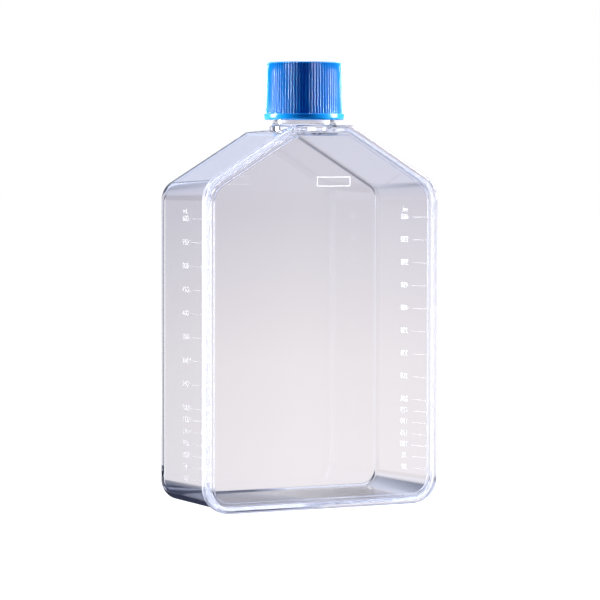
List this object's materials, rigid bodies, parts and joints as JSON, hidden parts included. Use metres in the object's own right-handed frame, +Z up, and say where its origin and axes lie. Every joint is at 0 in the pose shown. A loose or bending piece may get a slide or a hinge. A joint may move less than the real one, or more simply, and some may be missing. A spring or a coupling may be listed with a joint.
{
  "type": "cell culture flask",
  "caption": "Clear rectangular cell culture flask with sloped shoulders, a straight round neck and a ribbed vented screw cap, standing on its short end.",
  "frame": {"origin": "middle of the flask's bounding box, at the height of the surface that it stands on", "axes": "+Z up along the neck, -Y out of the flat front plate, +X along the flask's width"},
  "size_m": [0.121, 0.047, 0.1987],
  "materials": {
    "clear_body": "clear moulded polystyrene, gloss",
    "clear_plate": "clear moulded polystyrene, gloss",
    "cap_plastic": "blue moulded polyethylene, satin",
    "seal_elastomer": "natural elastomer, matt",
    "membrane": "white hydrophobic membrane, matt"
  },
  "bodies": {
    "flask": {"flask_body": "clear_body", "front_plate": "clear_plate"},
    "seal": {"seal_ring": "seal_elastomer"},
    "cap": {"screw_cap": "cap_plastic", "vent_membrane": "membrane"}
  },
  "joints": [
    {"name": "cap_rise", "type": "slide", "parent": "flask", "child": "seal", "axis": [0, 0, 1], "range_m": [0, 0.0281]},
    {"name": "cap_turn", "type": "hinge", "parent": "seal", "child": "cap", "pos_m": [0, -0.00555, 0.1847], "axis": [0, 0, 1], "range_deg": [0, 2520]}
  ],
  "couplings": [
    {"joint": "cap_rise", "follows": "cap_turn", "m_per_rad": 0.00063662}
  ]
}
